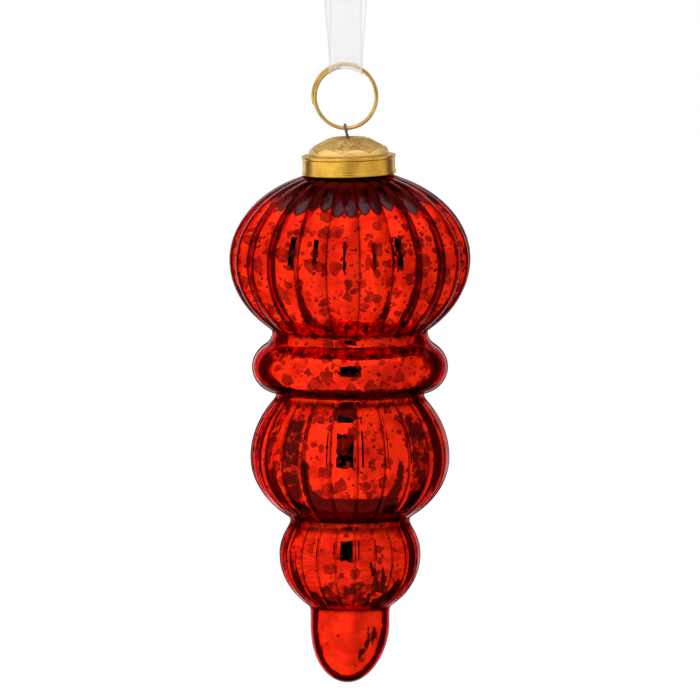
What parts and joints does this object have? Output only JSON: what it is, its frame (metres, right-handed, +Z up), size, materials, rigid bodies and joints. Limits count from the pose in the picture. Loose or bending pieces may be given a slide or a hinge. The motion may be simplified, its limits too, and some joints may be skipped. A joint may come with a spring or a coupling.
{
  "type": "hanging ornament",
  "caption": "Red glass Christmas ornament: a tall fluted finial drop with a gold-coloured cap, hung by a wire hook, a split ring and a loop of sheer white ribbon.",
  "frame": {"origin": "the hanging point: the top of the ribbon loop, on its inside, midway across the ribbon", "axes": "+Z up, along the ornament as it hangs; -Y to the front, which the split ring faces; +X to the right"},
  "size_m": [0.0762, 0.076, 0.2759],
  "materials": {
    "red_mercury_glass": "polished, silvered inside in mottled red",
    "gold_cap": "satin, stamped",
    "hook_wire": "drawn wire, dull",
    "ring_wire": "polished",
    "sheer_ribbon": "sheer organza with woven edges"
  },
  "bodies": {
    "hanger": {"ribbon": "sheer_ribbon", "split_ring": "ring_wire"},
    "ornament": {"glass_body": "red_mercury_glass", "cap": "gold_cap", "wire_hook": "hook_wire"}
  },
  "joints": [
    {"name": "ring_swing", "type": "hinge", "parent": "hanger", "child": "ornament", "pos_m": [0, 0, -0.09975], "axis": [1, 0, 0], "range_deg": [-100, 100]}
  ]
}
